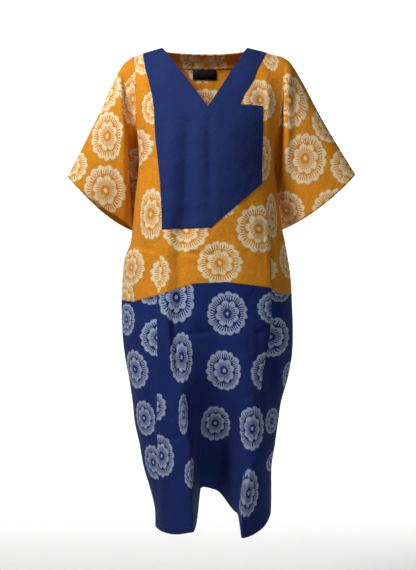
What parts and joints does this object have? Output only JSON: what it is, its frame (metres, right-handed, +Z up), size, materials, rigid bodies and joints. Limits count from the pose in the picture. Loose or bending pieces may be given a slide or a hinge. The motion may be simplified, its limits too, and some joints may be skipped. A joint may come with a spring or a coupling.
{
  "type": "boubou dress",
  "caption": "Loose calf-length V-neck boubou dress with half sleeves, an applied bib and a deep front fold, filled out as worn.",
  "frame": {"origin": "middle of the shoulder line, level with the neck's two shoulder ends, where the wearer's shoulders hold the dress", "axes": "+Z up, the front faces -Y, +X to the viewer's right as the front is looked at"},
  "size_m": [0.7516, 0.3085, 1.2516],
  "materials": {
    "orange_print": "matt cotton, resist-dyed with cream flowers",
    "navy_print": "matt cotton, resist-dyed with pale blue flowers",
    "navy_plain": "matt plain cotton",
    "label_black": "smooth woven satin"
  },
  "bodies": {
    "root": {"front_upper": "orange_print", "back_upper": "orange_print", "sleeve_left": "orange_print", "sleeve_right": "orange_print", "neck_facing": "orange_print", "bib": "navy_plain", "front_skirt": "navy_print", "back_skirt": "navy_print", "neck_label": "label_black"}
  },
  "joints": []
}
